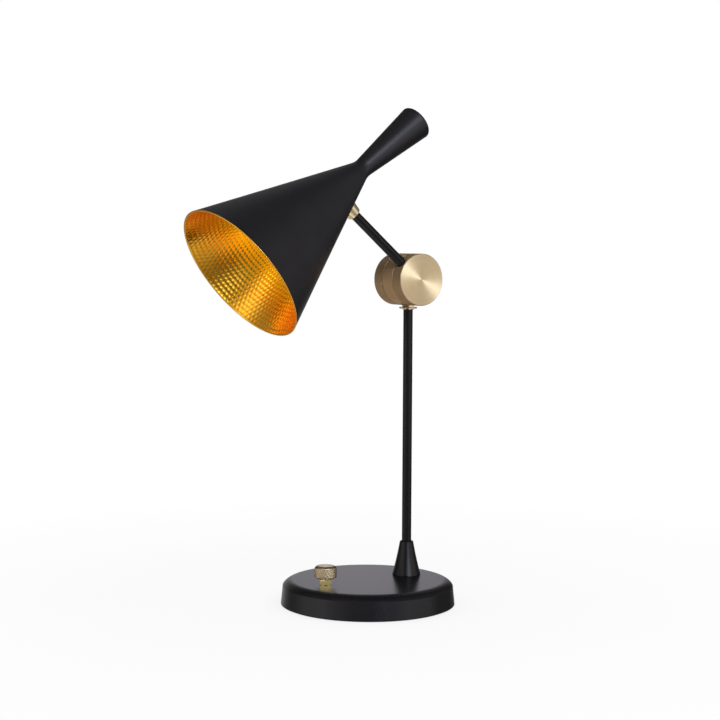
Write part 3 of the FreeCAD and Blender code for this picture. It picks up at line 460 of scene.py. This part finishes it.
# The dents and the steps of the mesh across each
DENTS_ROUND = 100
DENT_ROW = 4.4 * MM
DENT_ROWS = 27
ROUND_STEPS = 6
ROW_STEPS = 5
DENT_DEPTH = 0.26 * MM
DENT_SHARES = (0.8, 1.0)
DENT_SEED = 7


def cone_radius(height, inset):
    share = height / CONE_LEN
    return MOUTH_R - CONE_SLOPE * height - 4.0 * CONE_SAG * share * (1.0 - share) - inset


def shade_place(radius, angle, height):
    """A point of the shade from its radius, its angle and its height above the mouth."""
    return MOUTH + SHADE_WAY * height + (SHADE_SIDE * math.cos(angle) + FRONT * math.sin(angle)) * radius


def bowl(part, steps):
    """The depth across a dent, as a share: none at its edge and one in its middle."""
    across = 2.0 * part / steps - 1.0
    return 1.0 - across * across


def make_liner(material):
    """The hammered lining: staggered rows of dents, a smooth border and a lip over the shade's edge."""
    chance = random.Random(DENT_SEED)
    columns = DENTS_ROUND * ROUND_STEPS
    depths = [[DENT_DEPTH * chance.uniform(*DENT_SHARES) for _ in range(DENTS_ROUND)] for _ in range(DENT_ROWS)]
    work = bmesh.new()

    def plain(height, inset):
        return new_ring(work, shade_place, columns, lambda column: cone_radius(height, inset), height)

    def dented(step):
        row, part = divmod(step, ROW_STEPS)
        height = BORDER + DENT_ROW * step / ROW_STEPS
        shift = row % 2 * ROUND_STEPS // 2

        def radius_at(column):
            dent, piece = divmod((column + shift) % columns, ROUND_STEPS)
            hollow = bowl(part, ROW_STEPS) * bowl(piece, ROUND_STEPS)
            return cone_radius(height, LINER_IN) + depths[row][dent] * hollow

        return new_ring(work, shade_place, columns, radius_at, height)

    rings = [
        plain(LINER_LEN, LINER_OUT),
        plain(LIP, LINER_OUT),
        plain(LIP, 0.0),
        plain(LIP_BEVEL, 0.0),
        plain(0.0, LIP_BEVEL),
        plain(0.0, LINER_IN - LIP_BEVEL),
        plain(LIP_BEVEL, LINER_IN),
        plain(BORDER_LINE, LINER_IN),
    ]
    rings += [dented(step) for step in range(DENT_ROWS * ROW_STEPS)]
    rings += [plain(BORDER + DENT_ROW * DENT_ROWS, LINER_IN), plain(LINER_LEN, LINER_IN)]
    skin_rings(work, rings + rings[:1])
    drop_spigot_faces(work)
    new_piece("hammered_liner", work, material, "shade", "shade_liner")


def drop_spigot_faces(work):
    """Open the lining where the arm's bush passes through it, under the saddle washer."""
    def is_near(face):
        offset = face.calc_center_median() - ARM_AXIS_POINT
        along = offset.dot(ARM_WAY)
        return along < ARM_REACH and (offset - ARM_WAY * along).length < SPIGOT_CLEAR

    near = [face for face in work.faces if is_near(face)]
    bmesh.ops.delete(work, geom=near, context="FACES")


# The dimmer's knob, its knurl and the rings of its top
KNOB_FOOT = 33.5 * MM
KNOB_R = 11.5 * MM
KNOB_H = 12.2 * MM
KNOB_BEVEL = 1.9 * MM
KNOB_FOOT_BEVEL = 0.5 * MM
KNOB_BORE_R = 3.05 * MM
KNURLS_ROUND = 48
KNURL_STEPS = 6
KNURL_ROWS = 30
KNURL_PITCH = 2.2 * MM
KNURL_DEPTH = 0.5 * MM
TOP_R = KNOB_R - KNOB_BEVEL
TOP_EDGE_DROP = 0.15 * MM
TOP_EDGE_WIDTH = 0.2 * MM
TOP_RINGS = (TOP_R - TOP_EDGE_WIDTH, 0.6 * KNOB_R, 0.3 * KNOB_R, 0.3 * MM)


def knob_place(radius, angle, height):
    """A point of the knob from its radius, its angle and its height above the knob's foot."""
    return KNOB_AXIS + Vector((radius * math.cos(angle), radius * math.sin(angle), KNOB_FOOT + height))


def ridge(value):
    """A zigzag between none and one, with one ridge in each whole number."""
    return 1.0 - abs(2.0 * (value % 1.0) - 1.0)


def make_knob(material):
    """The dimmer's knob with a diamond knurl round its side."""
    columns = KNURLS_ROUND * KNURL_STEPS
    work = bmesh.new()

    def plain(radius, height):
        return new_ring(work, knob_place, columns, lambda column: radius, height)

    def knurled(height):
        rise = height / KNURL_PITCH

        def radius_at(column):
            turn = column / KNURL_STEPS
            peak = min(ridge(turn + rise), ridge(turn - rise))
            return KNOB_R - KNURL_DEPTH * (1.0 - peak)

        return new_ring(work, knob_place, columns, radius_at, height)

    low, high = KNOB_FOOT_BEVEL, KNOB_H - KNOB_BEVEL
    rings = [plain(KNOB_BORE_R, 0.0), plain(KNOB_R - KNURL_DEPTH - KNOB_FOOT_BEVEL, 0.0)]
    rings += [knurled(low + (high - low) * row / KNURL_ROWS) for row in range(KNURL_ROWS + 1)]
    rings += [plain(TOP_R, KNOB_H - TOP_EDGE_DROP)]
    rings += [plain(radius, KNOB_H) for radius in TOP_RINGS]
    skin_rings(work, rings)
    work.faces.new(rings[-1])
    new_piece("knurled_knob", work, material, "dimmer", "dimmer_knob")


# Stage, light and camera

def light_path_mix(owner, soft, white, share=None):
    """Show a white shader to the camera, in reflections and through glass, and a soft one to other rays."""
    path = add(owner, "ShaderNodeLightPath").outputs
    seen = path["Is Camera Ray"]
    for name in ("Is Glossy Ray", "Is Transmission Ray"):
        seen = calc(owner, "MAXIMUM", seen, path[name])
    if share is not None:
        seen = calc(owner, "MULTIPLY", seen, share)
    return add(owner, "ShaderNodeMixShader", {"Fac": seen, 1: soft, 2: white}).outputs["Shader"]


WORLD_LEVEL = 0.8


def make_world():
    """Even white round the set, which lights it a little less than it shows."""
    world = bpy.data.worlds.new("studio")
    world.use_nodes = True
    world.node_tree.nodes.clear()
    soft = add(world, "ShaderNodeBackground", {"Color": grey(1.0), "Strength": WORLD_LEVEL})
    white = add(world, "ShaderNodeBackground", {"Color": grey(1.0)})
    light = light_path_mix(world, soft.outputs["Background"], white.outputs["Background"])
    add(world, "ShaderNodeOutputWorld", {"Surface": light})
    world.cycles.sampling_method = "NONE"
    bpy.context.scene.world = world


# The floor's size, its paper, and how far from the object it runs out to white
FLOOR_HALF = 6.0
FLOOR_CELLS = 2
FLOOR_PAPER = 0.9
FLOOR_PALE = 0.8
FLOOR_NEAR = 0.22
FLOOR_FAR = 0.75


def make_floor():
    """A pale floor that keeps the shadow near the object and runs out to white."""
    material = bare_material("floor_paper")
    paper = add(material, "ShaderNodeBsdfDiffuse", {"Color": grey(FLOOR_PAPER)})
    white = add(material, "ShaderNodeEmission", {"Color": grey(1.0)})
    distance = vector_calc(material, "LENGTH", object_coordinates(material)).outputs["Value"]
    far = spread(material, distance, FLOOR_PALE, 1.0, FLOOR_NEAR, FLOOR_FAR)
    surface = light_path_mix(material, paper.outputs["BSDF"], white.outputs["Emission"], far)
    add(material, "ShaderNodeOutputMaterial", {"Surface": surface})
    work = bmesh.new()
    bmesh.ops.create_grid(work, x_segments=FLOOR_CELLS, y_segments=FLOOR_CELLS, size=FLOOR_HALF)
    floor = new_object("floor", new_mesh("floor", work, material))
    floor.visible_glossy = False


LAMP_CENTRE = Vector((0.0, 0.0, 0.28))


def around(turn, rise, distance):
    """A place round the lamp: its turn is to the right of the camera, in degrees, and its rise is upwards."""
    heading = CAMERA_HEADING - math.radians(turn)
    rise = math.radians(rise)
    level = Vector((-math.sin(heading), -math.cos(heading), 0.0)) * math.cos(rise)
    return LAMP_CENTRE + (level + UP * math.sin(rise)) * distance


# The soft box: its place round the lamp, its size in metres and its power in watts
KEY_TURN = 30
KEY_RISE = 50
KEY_DISTANCE = 2.0
KEY_WIDTH = 1.4
KEY_HEIGHT = 1.0
KEY_WATTS = 9.0


def make_key():
    """One soft box above the lamp, which shows in no reflection."""
    light = bpy.data.lights.new("key_above", "AREA")
    light.shape = "RECTANGLE"
    light.size = KEY_WIDTH
    light.size_y = KEY_HEIGHT
    light.energy = KEY_WATTS
    box = new_object("key_above", light)
    place = around(KEY_TURN, KEY_RISE, KEY_DISTANCE)
    turn = (LAMP_CENTRE - place).to_track_quat("-Z", "Y").to_matrix().to_4x4()
    box.matrix_world = Matrix.Translation(place) @ turn
    box.visible_camera = False
    box.visible_glossy = False


# The walls' distance in metres and the fineness of their mesh
WALL_DISTANCE = 4.0
WALL_DETAIL = 4

# Soft glows on the studio's walls, seen in reflections: turn, rise, tightness, level
GLOWS = {
    "left": (-60, 8, 14.0, 0.66),
    "right": (60, 8, 14.0, 1.45),
    "right_rear": (120, 8, 14.0, 0.21),
    "left_rear": (-150, 0, 20.0, 0.5),
    "left_high": (-90, 40, 16.0, 0.29),
    "left_front_high": (-30, 40, 16.0, 0.75),
    "right_high": (90, 40, 16.0, 0.25),
    "rear_high": (175, 40, 16.0, 0.32),
    "left_low": (-90, -30, 10.0, 0.81),
    "rear_low": (185, -33, 10.0, 0.9),
    "right_front_low": (45, -30, 10.0, 0.2),
    "table": (0, -80, 6.0, 1.47),
    "left_panel_low": (-85, -22, 45.0, 0.69),
    "left_panel": (-85, 0, 45.0, 0.57),
    "left_front_panel": (-60, 0, 45.0, 1.37),
    "front_left_panel": (-35, 0, 45.0, 0.8),
    "front_left_panel_high": (-35, 22, 45.0, 1.63),
    "front_panel_low": (-10, -22, 45.0, 1.42),
    "right_front_panel": (50, 0, 45.0, 0.2),
    "right_panel": (86, 0, 45.0, 0.99),
}

# Glows with a faint tint of their own, which comes first
TINTED_GLOWS = {
    "key": ((0.85, 1.0, 1.22, 1.0), (24, 24, 28.0, 10.0)),
    "rear": ((1.0, 0.965, 1.06, 1.0), (180, 6, 50.0, 0.88)),
}


def make_walls():
    """The studio round the set, which only shows in reflections."""
    material = bare_material("studio_walls")
    way = vector_calc(material, "NORMALIZE", object_coordinates(material)).outputs["Vector"]

    def with_glow(glow, total):
        turn, rise, tightness, level = glow
        axis = (around(turn, rise, 1.0) - LAMP_CENTRE).normalized()
        facing = vector_calc(material, "DOT_PRODUCT", way, axis).outputs["Value"]
        shape = calc(material, "POWER", calc(material, "MAXIMUM", facing, 0.0), tightness)
        return calc(material, "MULTIPLY_ADD", shape, level, total)

    total = 0.0
    for glow in GLOWS.values():
        total = with_glow(glow, total)
    light = add(material, "ShaderNodeEmission", {"Strength": total}).outputs["Emission"]
    for colour, glow in TINTED_GLOWS.values():
        tinted = add(material, "ShaderNodeEmission", {"Strength": with_glow(glow, 0.0), "Color": colour})
        light = add(material, "ShaderNodeAddShader", {0: light, 1: tinted.outputs["Emission"]}).outputs["Shader"]
    add(material, "ShaderNodeOutputMaterial", {"Surface": light})
    work = bmesh.new()
    bmesh.ops.create_icosphere(work, subdivisions=WALL_DETAIL, radius=WALL_DISTANCE)
    walls = new_object("studio_walls", new_mesh("studio_walls", work, material))
    walls.location = LAMP_CENTRE
    walls.visible_camera = False
    walls.visible_diffuse = False
    walls.visible_transmission = False
    walls.visible_shadow = False


def make_camera():
    """The photograph's camera, from its place, pitch, heading and roll."""
    ahead = Vector((
        math.cos(CAMERA_PITCH) * math.sin(CAMERA_HEADING),
        math.cos(CAMERA_PITCH) * math.cos(CAMERA_HEADING),
        -math.sin(CAMERA_PITCH),
    ))
    level = Vector((math.cos(CAMERA_HEADING), -math.sin(CAMERA_HEADING), 0.0))
    above = level.cross(ahead)
    right = level * math.cos(CAMERA_ROLL) + above * math.sin(CAMERA_ROLL)
    up = above * math.cos(CAMERA_ROLL) - level * math.sin(CAMERA_ROLL)
    turn = Matrix((right, up, -ahead)).transposed().to_4x4()
    lens = bpy.data.cameras.new("camera")
    lens.lens = CAMERA_LENS
    lens.sensor_width = CAMERA_SENSOR
    lens.clip_start = CAMERA_NEAR
    camera = new_object("camera", lens)
    camera.matrix_world = Matrix.Translation(CAMERA_PLACE) @ turn
    bpy.context.scene.camera = camera


materials = make_materials()
paint_nodes(materials)
make_liner(materials["gold_liner"])
make_knob(materials["brass_knob"])
make_world()
make_floor()
make_key()
make_walls()
make_camera()
bpy.context.scene.view_settings.view_transform = "Standard"
